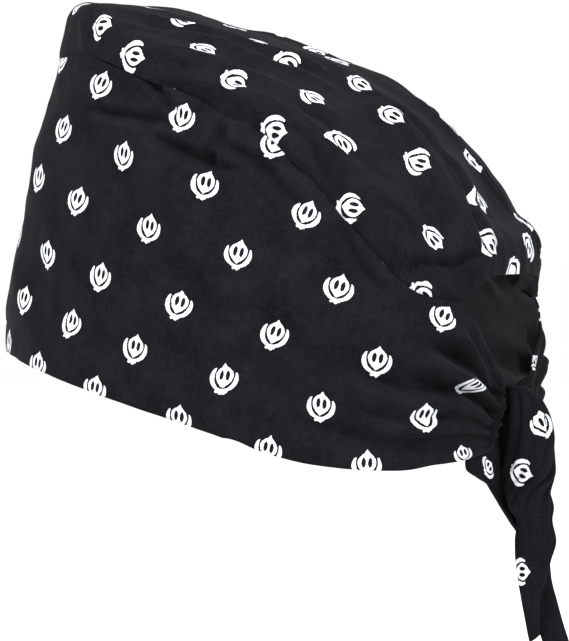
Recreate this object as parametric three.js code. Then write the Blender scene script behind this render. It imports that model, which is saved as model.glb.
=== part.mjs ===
// A patka: a cotton head cloth cut as a cap. A deep band goes round the brow and the sides, an oval crown
// panel closes the top and ends at the back in a gathered casing, and the band's two ends run on as ties
// that are knotted at the nape, under an open gap. It is modelled as worn, with no head in it.
// Millimetres. +Z is up, -Y is the wearer's front and +X the wearer's left. The origin is the centre of the
// head opening, level with the middle of the hem.
import * as THREE from "three";

// Driving dimensions, in mm
const HALF_WIDTH = 80; // hem, from the middle plane to the side
const FRONT_REACH = 123; // hem, from the widest station forward to the brow
const BACK_REACH = 87; // hem, from the widest station back to the nape
const WIDEST_AT = 15; // how far behind the origin the widest station lies
const TOP_HALF_WIDTH = 72; // seam, from the middle plane to the side
const TOP_FRONT_REACH = 98; // seam, from the widest station forward
const TOP_BACK_REACH = 91; // seam and gap edges, from the widest station back
const BAND_TOP = 137; // height of the seam over the brow
const CROWN_TOP = 157; // height of the crown over the origin
const HEM_HIGH = 18; // height of the hem at the brow
const HEM_LOW = 24.5; // how far the hem drops below the origin behind the ears
const GAP_TOP = 49; // height of the back gap's upper edge
const GAP_CORNER = 39; // height of the gap's two corners
const GAP_HALF_WIDTH = 48; // from the middle plane to a gap corner
const KNOT_TOP = 6; // height of the band's upper edge where it reaches the knot
const KNOT_FOOT = 19; // how far the band's lower edge lies below the origin there
const KNOT_HALF_WIDTH = 11; // from the middle plane to each cut end of the band
const WALL = 1.2; // cloth, with its air and fray
const HEM_EXTRA = 0.6; // the turned hem adds this inside
const CASING_EXTRA = 1.4; // the casing's cord and second layer add this inside
const HEM_DEPTH = 12; // how far up the turned hem goes
const CASING_DEPTH = 11; // how far up the casing goes
const SEAM_GAP = 0.5; // clearance between the band and the crown along the seam
const BAND_BULGE = 3.2; // how far the band bows out at mid height, at the sides
const NAPE_BULGE = 4; // the same, beside the gap
const NAPE_PUFF = 3.4; // how far the crown puffs out above the casing
const ROLL_TOP = 5; // height of the top of the tie that wraps the knot
const ROLL_TAIL_DROP = 93; // it ends this far below the origin
const UNDER_TOP = 4; // height of the top of the tie that passes under it
const UNDER_TAIL_DROP = 116; // it ends this far below the origin
const KNOT_WIDTH = 20; // across the wrap at its widest; both ties keep this proportion
const KNOT_BEHIND = 4; // from the band's back edge to the middle of the knot
const FOLD_DEPTH = 3; // a full fold of the cloth, from its bare form down to the crease
const FOLD_WIDTH = 6; // a full fold, from the crease out to where it fades

const FRONT_SQUARE = 2.12; // superellipse powers of the four plan quarters
const BACK_SQUARE = 3.2;
const TOP_FRONT_SQUARE = 2.4;
const TOP_BACK_SQUARE = 3.4;

const BAND_COLUMNS = 78;
const BAND_ROWS = 16;
const CROWN_COLUMNS = 76;
const TIE_SIDES = 24;
const TIE_SECTIONS = 28;

const DEGREE = Math.PI / 180;
const BEHIND = 180; // the angle of the nape; the brow is at 0 and the wearer's left side at 90
const clamp = (v, low, high) => Math.min(high, Math.max(low, v));
const mix = (a, b, share) => a + (b - a) * share;
const ease = (v) => v * v * (3 - 2 * v);
const wrap = (angle) => ((((angle + 180) % 360) + 360) % 360) - 180;

// A column of a table of rows, read between rows by a curve that never overshoots them.
function column(rows, key, name, at) {
  const last = rows.length - 1;
  if (at <= rows[0][key]) return rows[0][name];
  if (at >= rows[last][key]) return rows[last][name];
  const i = rows.findIndex((row, n) => n < last && at < rows[n + 1][key]);
  const step = (n) => rows[n + 1][key] - rows[n][key];
  const rate = (n) => (rows[n + 1][name] - rows[n][name]) / step(n);
  const slope = (n) => {
    if (n === 0) return rate(0);
    if (n === last) return rate(last - 1);
    const before = rate(n - 1);
    const after = rate(n);
    return before * after <= 0 ? 0 : (2 * before * after) / (before + after);
  };
  const t = (at - rows[i][key]) / step(i);
  const h = step(i);
  return (
    (1 + 2 * t) * (1 - t) ** 2 * rows[i][name] +
    t * (1 - t) ** 2 * h * slope(i) +
    t * t * (3 - 2 * t) * rows[i + 1][name] +
    t * t * (t - 1) * h * slope(i + 1)
  );
}

// The plan of the cap at one level: an egg of two superellipses that share their widest station.
function plan(angle, half, front, back, frontSquare, backSquare) {
  const a = Math.abs(angle) * DEGREE;
  const ahead = Math.cos(a) > 0;
  const power = 2 / (ahead ? frontSquare : backSquare);
  const side = Math.abs(Math.sin(a)) ** power;
  const along = Math.abs(Math.cos(a)) ** power;
  return [Math.sign(angle) * half * side, WIDEST_AT + (ahead ? -front : back) * along];
}

// The angle at which the upper plan is this far from the middle plane, behind the ears.
function angleBehind(x) {
  const side = (x / TOP_HALF_WIDTH) ** (TOP_BACK_SQUARE / 2);
  return BEHIND - Math.asin(side) / DEGREE;
}
const GAP_ANGLE = angleBehind(GAP_HALF_WIDTH);
const END_ANGLE = angleBehind(KNOT_HALF_WIDTH);

// Height of the hem. drop is the share of the way from the brow's height down to the lowest point.
const HEM_ROWS = [
  { angle: 0, drop: 0 },
  { angle: 20, drop: 0.019 },
  { angle: 30, drop: 0.047 },
  { angle: 45, drop: 0.15 },
  { angle: 60, drop: 0.3 },
  { angle: 75, drop: 0.495 },
  { angle: 85, drop: 0.64 },
  { angle: 90, drop: 0.725 },
  { angle: 93, drop: 0.815 },
  { angle: 97, drop: 0.88 },
  { angle: 105, drop: 0.945 },
  { angle: 118, drop: 0.99 },
  { angle: 130, drop: 1 },
  { angle: 145, drop: 0.955 },
];
function hemHeight(angle) {
  const a = Math.abs(angle);
  const low = HEM_HIGH - (HEM_HIGH + HEM_LOW) * column(HEM_ROWS, "angle", "drop", a);
  const last = HEM_ROWS[HEM_ROWS.length - 1].angle;
  return a < last ? low : mix(low, -KNOT_FOOT, (a - last) / (END_ANGLE - last));
}

// Height of the seam between band and crown, as shares of the way up from the gap's corner.
const SEAM_ROWS = [
  { share: 0, rise: 0.974 },
  { share: 0.21, rise: 0.974 },
  { share: 0.338, rise: 0.978 },
  { share: 0.38, rise: 0.961 },
  { share: 0.423, rise: 0.926 },
  { share: 0.486, rise: 0.869 },
  { share: 0.528, rise: 0.829 },
  { share: 0.56, rise: 0.792 },
  { share: 0.602, rise: 0.705 },
  { share: 0.644, rise: 0.55 },
  { share: 0.689, rise: 0.419 },
  { share: 0.753, rise: 0.258 },
  { share: 0.839, rise: 0.091 },
  { share: 0.9, rise: 0.031 },
  { share: 1, rise: 0 },
];
function seamHeight(angle) {
  const share = Math.abs(angle) / GAP_ANGLE;
  return GAP_CORNER + (BAND_TOP - GAP_CORNER) * column(SEAM_ROWS, "share", "rise", share);
}

// The band's free edge beside the gap, and the crown's edge over it, from the corner (0) to the middle (1).
const GAP_ROWS = [
  { inward: 0, fall: 0, arch: 0 },
  { inward: 0.15, fall: 0.155, arch: 0.41 },
  { inward: 0.38, fall: 0.43, arch: 0.84 },
  { inward: 0.62, fall: 0.735, arch: 1 },
  { inward: 1, fall: 1, arch: 1 },
];
function edgeHeight(angle, name, target, reach) {
  const x = TOP_HALF_WIDTH * Math.sin((BEHIND - Math.abs(angle)) * DEGREE) ** (2 / TOP_BACK_SQUARE);
  const inward = clamp((GAP_HALF_WIDTH - x) / (GAP_HALF_WIDTH - reach), 0, 1);
  return mix(GAP_CORNER, target, column(GAP_ROWS, "inward", name, inward));
}

// The hem, the band's upper edge and the crown's edge, as points at one angle round the head.
function hemPoint(angle) {
  const [x, y] = plan(angle, HALF_WIDTH, FRONT_REACH, BACK_REACH, FRONT_SQUARE, BACK_SQUARE);
  return new THREE.Vector3(x, y, hemHeight(angle));
}
const WAIST_ROWS = [
  { angle: 0, half: 0.9 },
  { angle: 60, half: 0.93 },
  { angle: 90, half: 0.97 },
  { angle: 105, half: 1.01 },
  { angle: 125, half: 1.02 },
  { angle: 150, half: 1 },
];
function topPlan(angle) {
  const half = TOP_HALF_WIDTH * column(WAIST_ROWS, "angle", "half", Math.abs(angle));
  return plan(angle, half, TOP_FRONT_REACH, TOP_BACK_REACH, TOP_FRONT_SQUARE, TOP_BACK_SQUARE);
}
function topPoint(angle) {
  const [x, y] = topPlan(angle);
  const beside = Math.abs(angle) > GAP_ANGLE;
  const z = beside ? edgeHeight(angle, "fall", KNOT_TOP, KNOT_HALF_WIDTH) : seamHeight(angle);
  return new THREE.Vector3(x, y, z);
}
function rimPoint(angle) {
  const [x, y] = topPlan(angle);
  const over = Math.abs(angle) > GAP_ANGLE;
  return new THREE.Vector3(x, y, over ? edgeHeight(angle, "arch", GAP_TOP, 0) : seamHeight(angle));
}

// The band's wall: ruled from hem to upper edge and bowed out between them.
function bandBase(angle, up) {
  const foot = hemPoint(angle);
  const head = topPoint(angle);
  const beside = ease(clamp((Math.abs(angle) - 120) / 45, 0, 1));
  const ahead = ease(clamp(1 - Math.abs(angle) / 60, 0, 1));
  const bulge = mix(mix(BAND_BULGE, NAPE_BULGE, beside), BAND_BULGE * 0.9, ahead);
  const tuck = ease(clamp((Math.abs(angle) - GAP_ANGLE) / (END_ANGLE - GAP_ANGLE), 0, 1));
  const bow = Math.sin(Math.PI * up) * bulge * (1 - 0.8 * tuck);
  const point = foot.clone().lerp(head, up);
  const out = new THREE.Vector3(point.x / HALF_WIDTH, (point.y - WIDEST_AT) / BACK_REACH, 0).normalize();
  return point.addScaledVector(out, bow);
}

// The crown's ridge in the middle plane, from brow to nape, as shares of the crown's length and height.
const RIDGE_ROWS = [
  { along: -0.9, height: 0.985 },
  { along: -0.66, height: 1 },
  { along: -0.46, height: 0.994 },
  { along: -0.16, height: 0.943 },
  { along: 0.17, height: 0.87 },
  { along: 0.42, height: 0.812 },
  { along: 0.59, height: 0.73 },
  { along: 0.75, height: 0.617 },
  { along: 0.91, height: 0.505 },
  { along: 1.01, height: 0.44 },
];
const RIDGE_LENGTH = WIDEST_AT + TOP_BACK_REACH;
function ridgeHeight(y) {
  return CROWN_TOP * column(RIDGE_ROWS, "along", "height", y / RIDGE_LENGTH);
}

// How the crown climbs from its edge (inward 0) to the ridge (1), for four directions round the head.
const RISE_ROWS = [
  { inward: 0, brow: 0, temple: 0, flank: 0, nape: 0 },
  { inward: 0.02, brow: 0.36, temple: 0.27, flank: 0.33, nape: 0.36 },
  { inward: 0.05, brow: 0.76, temple: 0.47, flank: 0.44, nape: 0.62 },
  { inward: 0.09, brow: 0.93, temple: 0.56, flank: 0.53, nape: 0.82 },
  { inward: 0.15, brow: 0.985, temple: 0.61, flank: 0.62, nape: 0.95 },
  { inward: 0.25, brow: 1, temple: 0.69, flank: 0.735, nape: 1 },
  { inward: 0.4, brow: 1, temple: 0.82, flank: 0.86, nape: 1 },
  { inward: 0.6, brow: 1, temple: 0.935, flank: 0.95, nape: 1 },
  { inward: 0.8, brow: 1, temple: 0.99, flank: 0.992, nape: 1 },
  { inward: 1, brow: 1, temple: 1, flank: 1, nape: 1 },
];
const DIRECTION_ROWS = [
  { angle: 0, brow: 1, temple: 0, flank: 0, nape: 0 },
  { angle: 35, brow: 1, temple: 0, flank: 0, nape: 0 },
  { angle: 62, brow: 0, temple: 1, flank: 0, nape: 0 },
  { angle: 88, brow: 0, temple: 1, flank: 0, nape: 0 },
  { angle: 112, brow: 0, temple: 0, flank: 1, nape: 0 },
  { angle: 140, brow: 0, temple: 0, flank: 1, nape: 0 },
  { angle: 162, brow: 0, temple: 0, flank: 0, nape: 1 },
];
const DIRECTIONS = ["brow", "temple", "flank", "nape"];
const PUFF_DEPTH = 0.075; // share of the way to the middle over which the crown puffs out at the nape
function crownBase(anyAngle, inward) {
  const angle = wrap(anyAngle);
  const edge = rimPoint(angle);
  const x = mix(edge.x, 0, inward);
  const y = mix(edge.y, 0, inward);
  const rise = DIRECTIONS.reduce((sum, name) => {
    const weight = column(DIRECTION_ROWS, "angle", name, Math.abs(angle));
    return sum + (weight > 0 ? weight * column(RISE_ROWS, "inward", name, inward) : 0);
  }, 0);
  const puff = NAPE_PUFF * column(DIRECTION_ROWS, "angle", "nape", Math.abs(angle));
  const swell = puff * Math.sin(Math.PI * clamp(inward / PUFF_DEPTH, 0, 1));
  const out = new THREE.Vector3(edge.x / TOP_HALF_WIDTH, edge.y / TOP_BACK_REACH, 0).normalize();
  return new THREE.Vector3(x, y, mix(edge.z, ridgeHeight(y), rise)).addScaledVector(out, swell);
}

// Main folds of the band. Each runs from one place to another, given as a share of the way round from brow
// to knot and a share of the way up from the hem. depth and width are shares of a full fold's, and lip, the
// roll beside the crease, is a share of its depth.
const BAND_FOLDS = [
  { from: [0.52, 0.36], via: [0.72, 0.4], to: [0.985, 0.42], depth: 1.133, width: 1, lip: 0.333 },
  { from: [0.76, 0.6], via: [0.86, 0.53], to: [0.985, 0.5], depth: 0.8, width: 0.917, lip: 0.267 },
  { from: [0.82, 0.84], via: [0.9, 0.76], to: [0.985, 0.74], depth: 1.067, width: 1, lip: 0.3 },
  { from: [0.44, 0.12], via: [0.7, 0.15], to: [0.985, 0.18], depth: 1, width: 1, lip: 0.333 },
  { from: [0.2, 0.3], via: [0.36, 0.28], to: [0.62, 0.27], depth: 0.733, width: 1.5, lip: 0.267 },
  { from: [0.22, 0.98], via: [0.27, 0.7], to: [0.4, 0.42], depth: 0.533, width: 1.667, lip: 0.533 },
  { from: [0.22, 0.63], via: [0.27, 0.64], to: [0.33, 0.66], depth: 0.667, width: 1, lip: 0.4 },
  { from: [0.47, 0.86], via: [0.52, 0.74], to: [0.58, 0.66], depth: 0.6, width: 1, lip: 0.267 },
];
// Main folds of the crown panel, as shares of the way round from brow to nape and inward from the edge.
const CROWN_FOLDS = [
  { from: [0.8, 0.56], via: [0.875, 0.34], to: [0.93, 0.07], depth: 1.133, width: 1.5, lip: 0.533 },
  { from: [0.78, 0.07], via: [0.87, 0.09], to: [0.94, 0.09], depth: 0.8, width: 0.917, lip: 0.467 },
  { from: [0.26, 0.01], via: [0.27, 0.1], to: [0.3, 0.2], depth: 0.8, width: 1, lip: 0.333 },
  { from: [0.5, 0.22], via: [0.6, 0.12], to: [0.74, 0.04], depth: 0.667, width: 1.167, lip: 0.333 },
];

const PATH_STEPS = 14;
// A fold's line on a base surface, as points in space, and how strong it is at each: it fades at its start.
function foldLine(fold, base, side, last) {
  return Array.from({ length: PATH_STEPS + 1 }, (_, n) => {
    const t = n / PATH_STEPS;
    const at = [0, 1].map((k) => {
      const bend = 2 * fold.via[k] - (fold.from[k] + fold.to[k]) / 2;
      return (1 - t) ** 2 * fold.from[k] + 2 * t * (1 - t) * bend + t * t * fold.to[k];
    });
    const fadeOut = fold.to[0] > 0.95 ? 1 : ease(clamp((1 - t) / 0.3, 0, 1));
    return {
      point: base(side * last * at[0], clamp(at[1], 0, 1)),
      strength: ease(clamp(t / 0.45, 0, 1)) * fadeOut,
    };
  });
}
// How far the folds push the cloth along its normal at a point: down in each crease, up beside it.
function foldOffset(point, lines) {
  let offset = 0;
  for (const { steps, fold } of lines) {
    let nearest = Infinity;
    let strength = 0;
    for (let n = 0; n < steps.length - 1; n++) {
      const start = steps[n].point;
      const run = steps[n + 1].point.clone().sub(start);
      const t = clamp(point.clone().sub(start).dot(run) / run.lengthSq(), 0, 1);
      const distance = start.clone().addScaledVector(run, t).distanceTo(point);
      if (distance < nearest) {
        nearest = distance;
        strength = mix(steps[n].strength, steps[n + 1].strength, t);
      }
    }
    const reach = nearest / (FOLD_WIDTH * fold.width);
    const crease = Math.exp(-reach * reach);
    const roll = Math.exp(-((reach - 1.9) ** 2));
    offset += strength * FOLD_DEPTH * (fold.lip * roll - fold.depth * crease);
  }
  return offset;
}
const bothSides = (folds, base, last) =>
  folds.flatMap((fold) => [1, -1].map((side) => ({ fold, steps: foldLine(fold, base, side, last) })));
const bandLines = bothSides(BAND_FOLDS, bandBase, END_ANGLE);
const crownLines = bothSides(CROWN_FOLDS, crownBase, BEHIND);

// The unit normal of a base surface, out of the cap, by small steps along both of its directions.
function normalOf(base, angle, share, sense) {
  const da = 0.4;
  const ds = 0.004;
  const low = clamp(share - ds, 0, 1);
  const high = clamp(share + ds, 0, 1);
  const round = base(angle + da, share).sub(base(angle - da, share));
  const along = base(angle, high).sub(base(angle, low));
  return round.cross(along).multiplyScalar(sense).normalize();
}

function bandSurface(angle, up) {
  const point = bandBase(angle, up);
  return point.addScaledVector(normalOf(bandBase, angle, up, 1), foldOffset(point, bandLines));
}
function crownSurface(angle, inward) {
  const point = crownBase(angle, inward);
  if (inward > 0.96) return point;
  const calm = ease(clamp((0.96 - inward) / 0.3, 0, 1));
  return point.addScaledVector(normalOf(crownBase, angle, inward, 1), calm * foldOffset(point, crownLines));
}

// Angles spaced evenly along the hem's plan, so that columns of the mesh are about as wide as each other.
function evenAngles(count, last) {
  const FINE = 720;
  const angles = Array.from({ length: FINE + 1 }, (_, n) => mix(-last, last, n / FINE));
  const lengths = [0];
  for (let n = 1; n <= FINE; n++) {
    lengths.push(lengths[n - 1] + topPoint(angles[n]).distanceTo(topPoint(angles[n - 1])));
  }
  const whole = lengths[FINE];
  return Array.from({ length: count + 1 }, (_, k) => {
    const target = (whole * k) / count;
    const n = clamp(lengths.findIndex((l) => l >= target), 1, FINE);
    const share = (target - lengths[n - 1]) / (lengths[n] - lengths[n - 1]);
    return mix(angles[n - 1], angles[n], share);
  });
}

// The direction in which both panels are cut at the seam, so that their edges face each other squarely.
function seamNormal(angle) {
  const band = normalOf(bandBase, angle, 1, 1);
  const crown = normalOf(crownBase, angle, 0.01, 1);
  return band.add(crown).normalize();
}

// A grid of outer points and the wall under it as one closed mesh. grid[i][j] is a point, and inner[i][j]
// the matching point inside. closed joins the last column to the first; pole shrinks the last row to a point.
function shell(grid, inner, closed, pole) {
  const columns = grid.length;
  const rows = grid[0].length;
  const positions = [];
  const index = [];
  const place = (points) =>
    points.map((line, i) =>
      line.map((p, j) => {
        if (pole && j === rows - 1 && i > 0) return null;
        positions.push(p.x, p.y, p.z);
        return positions.length / 3 - 1;
      }),
    );
  const outside = place(grid);
  const inside = place(inner);
  const at = (set, i, j) => (pole && j === rows - 1 ? set[0][j] : set[i % columns][j]);
  const face = (a, b, c) => {
    if (a !== b && b !== c && a !== c) index.push(a, b, c);
  };
  const quad = (a, b, c, d) => {
    face(a, b, c);
    face(a, c, d);
  };
  const spans = closed ? columns : columns - 1;
  for (let i = 0; i < spans; i++) {
    for (let j = 0; j < rows - 1; j++) {
      quad(at(outside, i, j), at(outside, i + 1, j), at(outside, i + 1, j + 1), at(outside, i, j + 1));
      quad(at(inside, i, j), at(inside, i, j + 1), at(inside, i + 1, j + 1), at(inside, i + 1, j));
    }
    quad(at(outside, i + 1, 0), at(outside, i, 0), at(inside, i, 0), at(inside, i + 1, 0));
    if (!pole) {
      const j = rows - 1;
      quad(at(outside, i, j), at(outside, i + 1, j), at(inside, i + 1, j), at(inside, i, j));
    }
  }
  if (!closed) {
    for (let j = 0; j < rows - 1; j++) {
      const n = columns - 1;
      quad(at(outside, 0, j), at(outside, 0, j + 1), at(inside, 0, j + 1), at(inside, 0, j));
      quad(at(outside, n, j + 1), at(outside, n, j), at(inside, n, j), at(inside, n, j + 1));
    }
  }
  const geometry = new THREE.BufferGeometry();
  geometry.setAttribute("position", new THREE.Float32BufferAttribute(positions, 3));
  geometry.setIndex(index);
  return geometry;
}

// Normals of a grid of points, from its own neighbours.
function gridNormals(grid, closed) {
  const columns = grid.length;
  const rows = grid[0].length;
  return grid.map((line, i) =>
    line.map((p, j) => {
      const before = closed ? (i + columns - 1) % columns : Math.max(i - 1, 0);
      const after = closed ? (i + 1) % columns : Math.min(i + 1, columns - 1);
      const round = grid[after][j].clone().sub(grid[before][j]);
      const along = grid[i][Math.min(j + 1, rows - 1)].clone().sub(grid[i][Math.max(j - 1, 0)]);
      return round.cross(along).normalize();
    }),
  );
}

const black = new THREE.MeshStandardMaterial({ color: 0x232228, roughness: 0.85, metalness: 0 });

function sideBand() {
  const angles = evenAngles(BAND_COLUMNS, END_ANGLE);
  const ups = Array.from({ length: BAND_ROWS }, (_, j) => j / (BAND_ROWS - 1));
  const outer = angles.map((angle) => ups.map((up) => bandSurface(angle, up)));
  const normals = gridNormals(outer, false);
  const inner = outer.map((line, i) =>
    line.map((p, j) => {
      const nearTop = clamp((ups[j] - 0.85) / 0.15, 0, 1);
      const seamed = Math.abs(angles[i]) < GAP_ANGLE;
      const toward = normals[i][j].clone();
      if (seamed) toward.lerp(seamNormal(angles[i]), nearTop).normalize();
      const height = p.z - hemHeight(angles[i]);
      const hem = ease(clamp(1.5 - height / HEM_DEPTH, 0, 1)) * HEM_EXTRA;
      return p.clone().addScaledVector(toward, -(WALL + hem));
    }),
  );
  const last = BAND_ROWS - 1;
  angles.forEach((angle, i) => {
    if (Math.abs(angle) > GAP_ANGLE) return;
    for (const set of [outer, inner]) {
      const down = set[i][last - 1].clone().sub(set[i][last]).normalize();
      set[i][last].addScaledVector(down, SEAM_GAP);
    }
  });
  const mesh = new THREE.Mesh(shell(outer, inner, false, false), black);
  mesh.name = "side_band";
  return mesh;
}

function crownPanel() {
  const angles = evenAngles(CROWN_COLUMNS, BEHIND).slice(0, -1);
  const inwards = [0, 0.015, 0.035, 0.06, 0.1, 0.15, 0.21, 0.28, 0.36, 0.45, 0.56, 0.69, 0.83, 1];
  const outer = angles.map((angle) => inwards.map((inward) => crownSurface(angle, inward)));
  const normals = gridNormals(outer, true);
  const pole = inwards.length - 1;
  const inner = outer.map((line, i) =>
    line.map((p, j) => {
      if (j === pole) return p.clone().setZ(p.z - WALL);
      const seamed = Math.abs(angles[i]) < GAP_ANGLE;
      const nearEdge = seamed ? clamp(1 - inwards[j] / 0.05, 0, 1) : 0;
      const toward = normals[i][j].clone();
      if (nearEdge > 0) toward.lerp(seamNormal(angles[i]), nearEdge).normalize();
      const over = ease(clamp((Math.abs(angles[i]) - GAP_ANGLE + 8) / 10, 0, 1));
      const depth = ease(clamp(1.6 - p.distanceTo(line[0]) / CASING_DEPTH, 0, 1));
      return p.clone().addScaledVector(toward, -(WALL + CASING_EXTRA * over * depth));
    }),
  );
  const mesh = new THREE.Mesh(shell(outer, inner, true, true), black);
  mesh.name = "crown";
  return mesh;
}

// A gathered strip of cloth, as a loft of flattened rounds stacked from top to bottom. Each row gives the
// height of its section, its middle, its width and thickness, the turn of its long way, and its pleats.
function bundle(rows, top, bottom, pleats) {
  const read = (name, share) => column(rows, "share", name, share);
  const size = (name, share) => KNOT_WIDTH * read(name, share);
  const grid = Array.from({ length: TIE_SECTIONS + 1 }, (_, n) => {
    const share = n / TIE_SECTIONS;
    const turn = read("turn", share) * DEGREE;
    return Array.from({ length: TIE_SIDES }, (_, k) => {
      const t = (k / TIE_SIDES) * 2 * Math.PI;
      const swell = 1 + read("pleat", share) * Math.cos(pleats * t + 3 * share);
      const long = (size("wide", share) / 2) * Math.sign(Math.cos(t)) * Math.abs(Math.cos(t)) ** 0.85;
      const short = (size("thick", share) / 2) * Math.sin(t) * swell;
      return new THREE.Vector3(
        size("x", share) + long * Math.cos(turn) + short * Math.sin(turn),
        size("y", share) - long * Math.sin(turn) + short * Math.cos(turn),
        mix(top, bottom, share),
      );
    });
  });
  const positions = [];
  grid.forEach((ring) => ring.forEach((p) => positions.push(p.x, p.y, p.z)));
  const index = [];
  for (let n = 0; n < TIE_SECTIONS; n++) {
    for (let k = 0; k < TIE_SIDES; k++) {
      const a = n * TIE_SIDES + k;
      const b = n * TIE_SIDES + ((k + 1) % TIE_SIDES);
      index.push(a, a + TIE_SIDES, b, b, a + TIE_SIDES, b + TIE_SIDES);
    }
  }
  for (const [n, sense] of [[0, 1], [TIE_SECTIONS, -1]]) {
    const middle = grid[n].reduce((sum, p) => sum.add(p), new THREE.Vector3()).divideScalar(TIE_SIDES);
    positions.push(middle.x, middle.y, middle.z);
    const centre = positions.length / 3 - 1;
    for (let k = 0; k < TIE_SIDES; k++) {
      const a = n * TIE_SIDES + k;
      const b = n * TIE_SIDES + ((k + 1) % TIE_SIDES);
      if (sense > 0) index.push(centre, a, b);
      else index.push(centre, b, a);
    }
  }
  const geometry = new THREE.BufferGeometry();
  geometry.setAttribute("position", new THREE.Float32BufferAttribute(positions, 3));
  geometry.setIndex(index);
  return geometry;
}

// The tie that carries on from the right end of the band: it wraps the knot from the front and hangs from it.
// Rows run down the tie. x, y, wide and thick are shares of the knot's width, y from the knot's middle.
const ROLL_ROWS = [
  { share: 0, x: -0.2, y: -0.25, wide: 0.75, thick: 0.25, turn: -30, pleat: 0 },
  { share: 0.05, x: -0.1, y: -0.125, wide: 1, thick: 0.45, turn: -32, pleat: 0.02 },
  { share: 0.13, x: -0.02, y: -0.02, wide: 1, thick: 0.7, turn: -33, pleat: 0.05 },
  { share: 0.21, x: -0.01, y: 0.04, wide: 1.02, thick: 0.85, turn: -30, pleat: 0.06 },
  { share: 0.3, x: 0, y: 0.05, wide: 0.95, thick: 0.92, turn: -20, pleat: 0.06 },
  { share: 0.35, x: 0, y: 0.06, wide: 0.9, thick: 0.92, turn: 0, pleat: 0.06 },
  { share: 0.4, x: 0.025, y: 0.04, wide: 0.85, thick: 0.83, turn: 30, pleat: 0.06 },
  { share: 0.47, x: 0.05, y: 0.11, wide: 0.87, thick: 0.65, turn: 60, pleat: 0.08 },
  { share: 0.53, x: 0.075, y: 0.2, wide: 0.68, thick: 0.45, turn: 68, pleat: 0.1 },
  { share: 0.61, x: 0.1, y: 0.23, wide: 0.79, thick: 0.3, turn: 72, pleat: 0.12 },
  { share: 0.69, x: 0.1, y: 0.18, wide: 0.68, thick: 0.25, turn: 66, pleat: 0.12 },
  { share: 0.765, x: 0.1, y: 0.16, wide: 0.56, thick: 0.22, turn: 60, pleat: 0.12 },
  { share: 0.825, x: 0.1, y: 0.13, wide: 0.4, thick: 0.2, turn: 64, pleat: 0.1 },
  { share: 0.89, x: 0.1, y: 0.15, wide: 0.32, thick: 0.18, turn: 68, pleat: 0.1 },
  { share: 1, x: 0.1, y: 0.22, wide: 0.21, thick: 0.13, turn: 70, pleat: 0 },
];
// The tie that carries on from the left end: it passes under the wrap, folds and hangs behind the other.
const UNDER_ROWS = [
  { share: 0, x: 0.05, y: -0.56, wide: 0.75, thick: 0.1, turn: -20, pleat: 0 },
  { share: 0.067, x: 0.05, y: -0.56, wide: 0.95, thick: 0.13, turn: -20, pleat: 0.05 },
  { share: 0.15, x: 0.05, y: -0.57, wide: 0.95, thick: 0.14, turn: -19, pleat: 0.05 },
  { share: 0.205, x: 0.05, y: -0.58, wide: 0.92, thick: 0.17, turn: -12, pleat: 0.05 },
  { share: 0.25, x: 0.3, y: -0.58, wide: 1.1, thick: 0.22, turn: 12, pleat: 0.08 },
  { share: 0.31, x: 0.1, y: -0.56, wide: 0.7, thick: 0.19, turn: 4, pleat: 0.1 },
  { share: 0.367, x: 0, y: -0.445, wide: 0.52, thick: 0.16, turn: 6, pleat: 0.1 },
  { share: 0.425, x: -0.07, y: -0.23, wide: 0.42, thick: 0.2, turn: 16, pleat: 0.1 },
  { share: 0.48, x: -0.24, y: -0.02, wide: 0.43, thick: 0.22, turn: 50, pleat: 0.1 },
  { share: 0.54, x: -0.3, y: 0.08, wide: 0.55, thick: 0.2, turn: 66, pleat: 0.1 },
  { share: 0.617, x: -0.3, y: 0.13, wide: 0.55, thick: 0.2, turn: 66, pleat: 0.1 },
  { share: 0.69, x: -0.3, y: 0.25, wide: 0.55, thick: 0.19, turn: 66, pleat: 0.1 },
  { share: 0.767, x: -0.3, y: 0.4, wide: 0.53, thick: 0.18, turn: 66, pleat: 0.1 },
  { share: 0.817, x: -0.3, y: 0.51, wide: 0.52, thick: 0.17, turn: 66, pleat: 0.1 },
  { share: 0.908, x: -0.3, y: 0.65, wide: 0.51, thick: 0.15, turn: 66, pleat: 0.1 },
  { share: 1, x: -0.3, y: 0.75, wide: 0.5, thick: 0.13, turn: 66, pleat: 0 },
];
function tie(name, rows, top, drop, pleats) {
  const mesh = new THREE.Mesh(bundle(rows, top, -drop, pleats), black);
  mesh.position.y = WIDEST_AT + TOP_BACK_REACH + KNOT_BEHIND;
  mesh.name = name;
  return mesh;
}

const patka = new THREE.Group();
patka.add(sideBand(), crownPanel());
patka.add(tie("right_tie", ROLL_ROWS, ROLL_TOP, ROLL_TAIL_DROP, 6));
patka.add(tie("left_tie", UNDER_ROWS, UNDER_TOP, UNDER_TAIL_DROP, 4));
export default patka;
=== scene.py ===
import math

import bpy
import numpy as np
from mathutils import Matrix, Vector, noise


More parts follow.
